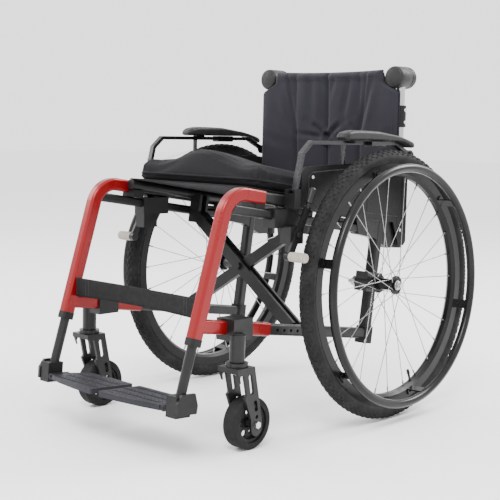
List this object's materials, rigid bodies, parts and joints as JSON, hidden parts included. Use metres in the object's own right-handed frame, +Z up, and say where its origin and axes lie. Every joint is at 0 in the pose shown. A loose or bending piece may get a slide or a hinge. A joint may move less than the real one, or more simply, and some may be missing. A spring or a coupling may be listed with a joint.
{
  "type": "manual wheelchair",
  "caption": "Folding manual wheelchair with cross brace, swivel casters, quick-release rear wheels, flip-up footplates and flip-back armrests.",
  "frame": {"origin": "on the floor, under the middle of the whole chair's outline", "axes": "+Z up, -Y the way the user faces, +X the user's left"},
  "size_m": [0.679, 0.916, 0.79],
  "materials": {
    "rubber_tyre": "matt, worn",
    "rim_alloy": "satin anodised",
    "spoke_steel": "bright",
    "hub_alloy": "satin black",
    "bearing_steel": "ground",
    "handrim_alloy": "satin anodised",
    "axle_steel": "polished",
    "black_plastic": "matt",
    "caster_rubber": "matt",
    "black_alloy": "satin black",
    "bolt_steel": "zinc plated",
    "red_paint": "gloss metallic",
    "black_paint": "satin",
    "cane_alloy": "satin",
    "grip_foam": "soft matt",
    "grey_plastic": "matt",
    "arm_alloy": "satin",
    "pad_foam": "soft matt",
    "black_fabric": "woven nylon",
    "cushion_fabric": "soft knit",
    "back_fabric": "woven nylon"
  },
  "bodies": {
    "frame_right": {"axle_right": "axle_steel", "caster_housing_right": "black_alloy", "front_tube_right": "red_paint", "side_frame_right": "black_paint", "axle_receiver_right": "black_alloy", "back_cane_right": "cane_alloy", "back_grip_right": "grip_foam", "fittings_right": "black_plastic", "footrest_tube_right": "black_paint", "footplate_clamp_right": "grey_plastic", "brake_mount_right": "black_alloy", "side_guard_right": "black_plastic", "back_upholstery": "back_fabric", "calf_strap": "black_fabric"},
    "brace_single": {"brace_single": "black_paint", "seat_sling": "black_fabric", "cushion": "cushion_fabric"},
    "brace_double": {"brace_double": "black_paint"},
    "frame_left": {"axle_left": "axle_steel", "caster_housing_left": "black_alloy", "front_tube_left": "red_paint", "side_frame_left": "black_paint", "axle_receiver_left": "black_alloy", "back_cane_left": "cane_alloy", "back_grip_left": "grip_foam", "fittings_left": "black_plastic", "footrest_tube_left": "black_paint", "footplate_clamp_left": "grey_plastic", "brake_mount_left": "black_alloy", "side_guard_left": "black_plastic"},
    "wheel_left": {"tyre_left": "rubber_tyre", "rim_left": "rim_alloy", "spokes_left": "spoke_steel", "hub_left": "hub_alloy", "hub_bearings_left": "bearing_steel", "handrim_left": "handrim_alloy"},
    "axle_button_left": {"axle_button_left": "black_plastic"},
    "caster_fork_left": {"caster_fork_left": "black_alloy", "caster_bolts_left": "bolt_steel"},
    "caster_wheel_left": {"caster_tyre_left": "caster_rubber", "caster_core_left": "black_plastic"},
    "footplate_left": {"footplate_left": "grey_plastic"},
    "brake_lever_left": {"brake_lever_left": "black_alloy"},
    "armrest_left": {"armrest_left": "arm_alloy", "arm_pad_left": "pad_foam"},
    "wheel_right": {"tyre_right": "rubber_tyre", "rim_right": "rim_alloy", "spokes_right": "spoke_steel", "hub_right": "hub_alloy", "hub_bearings_right": "bearing_steel", "handrim_right": "handrim_alloy"},
    "axle_button_right": {"axle_button_right": "black_plastic"},
    "caster_fork_right": {"caster_fork_right": "black_alloy", "caster_bolts_right": "bolt_steel"},
    "caster_wheel_right": {"caster_tyre_right": "caster_rubber", "caster_core_right": "black_plastic"},
    "footplate_right": {"footplate_right": "grey_plastic"},
    "brake_lever_right": {"brake_lever_right": "black_alloy"},
    "armrest_right": {"armrest_right": "arm_alloy", "arm_pad_right": "pad_foam"}
  },
  "joints": [
    {"name": "fold", "type": "hinge", "parent": "frame_right", "child": "brace_single", "pos_m": [-0.178, -0.04785, 0.20991], "axis": [0, -0.9895, 0.1444], "range_deg": [0, 36], "deforming": ["seat_sling", "cushion", "back_upholstery", "calf_strap"]},
    {"name": "brace_scissor", "type": "hinge", "parent": "brace_single", "child": "brace_double", "pos_m": [0, -0.03078, 0.32694], "axis": [0, -0.9895, 0.1444], "range_deg": [-72, 0]},
    {"name": "frame_left_pivot", "type": "hinge", "parent": "brace_double", "child": "frame_left", "pos_m": [0.178, -0.04785, 0.20991], "axis": [0, -0.9895, 0.1444], "range_deg": [0, 36]},
    {"name": "wheel_spin_left", "type": "hinge", "parent": "frame_left", "child": "wheel_left", "pos_m": [0.272, 0.158, 0.29983], "axis": [0.9994, 0, 0.0349], "continuous": true},
    {"name": "axle_button_press_left", "type": "slide", "parent": "frame_left", "child": "axle_button_left", "axis": [-0.9994, 0, -0.0349], "range_m": [0, 0.004], "stiffness_N_per_m": 500},
    {"name": "caster_swivel_left", "type": "hinge", "parent": "frame_left", "child": "caster_fork_left", "pos_m": [0.232, -0.287, 0.2], "axis": [0, 0, 1], "continuous": true},
    {"name": "caster_spin_left", "type": "hinge", "parent": "caster_fork_left", "child": "caster_wheel_left", "pos_m": [0.232, -0.255, 0.053], "axis": [1, 0, 0], "continuous": true},
    {"name": "footplate_flip_left", "type": "hinge", "parent": "frame_left", "child": "footplate_left", "pos_m": [0.179, -0.40776, 0.10044], "axis": [0, 0.9981, -0.061], "range_deg": [0, 90]},
    {"name": "brake_left", "type": "hinge", "parent": "frame_left", "child": "brake_lever_left", "pos_m": [0.243, -0.127, 0.425], "axis": [1, 0, 0], "range_deg": [0, 10.5]},
    {"name": "armrest_flip_left", "type": "hinge", "parent": "frame_left", "child": "armrest_left", "pos_m": [0.229, 0.274, 0.587], "axis": [-1, 0, 0], "range_deg": [0, 90]},
    {"name": "wheel_spin_right", "type": "hinge", "parent": "frame_right", "child": "wheel_right", "pos_m": [-0.272, 0.158, 0.29983], "axis": [0.9994, 0, -0.0349], "continuous": true},
    {"name": "axle_button_press_right", "type": "slide", "parent": "frame_right", "child": "axle_button_right", "axis": [0.9994, 0, -0.0349], "range_m": [0, 0.004], "stiffness_N_per_m": 500},
    {"name": "caster_swivel_right", "type": "hinge", "parent": "frame_right", "child": "caster_fork_right", "pos_m": [-0.232, -0.287, 0.2], "axis": [0, 0, 1], "continuous": true},
    {"name": "caster_spin_right", "type": "hinge", "parent": "caster_fork_right", "child": "caster_wheel_right", "pos_m": [-0.232, -0.255, 0.053], "axis": [1, 0, 0], "continuous": true},
    {"name": "footplate_flip_right", "type": "hinge", "parent": "frame_right", "child": "footplate_right", "pos_m": [-0.179, -0.40776, 0.10044], "axis": [0, -0.9981, 0.061], "range_deg": [0, 90]},
    {"name": "brake_right", "type": "hinge", "parent": "frame_right", "child": "brake_lever_right", "pos_m": [-0.243, -0.127, 0.425], "axis": [1, 0, 0], "range_deg": [0, 10.5]},
    {"name": "armrest_flip_right", "type": "hinge", "parent": "frame_right", "child": "armrest_right", "pos_m": [-0.229, 0.274, 0.587], "axis": [-1, 0, 0], "range_deg": [0, 90]}
  ],
  "couplings": [
    {"joint": "brace_scissor", "follows": "fold", "ratio": -2},
    {"joint": "frame_left_pivot", "follows": "fold", "ratio": 1},
    {"joint": "footplate_flip_left", "follows": "fold", "ratio": 2.5},
    {"joint": "footplate_flip_right", "follows": "fold", "ratio": 2.5}
  ]
}
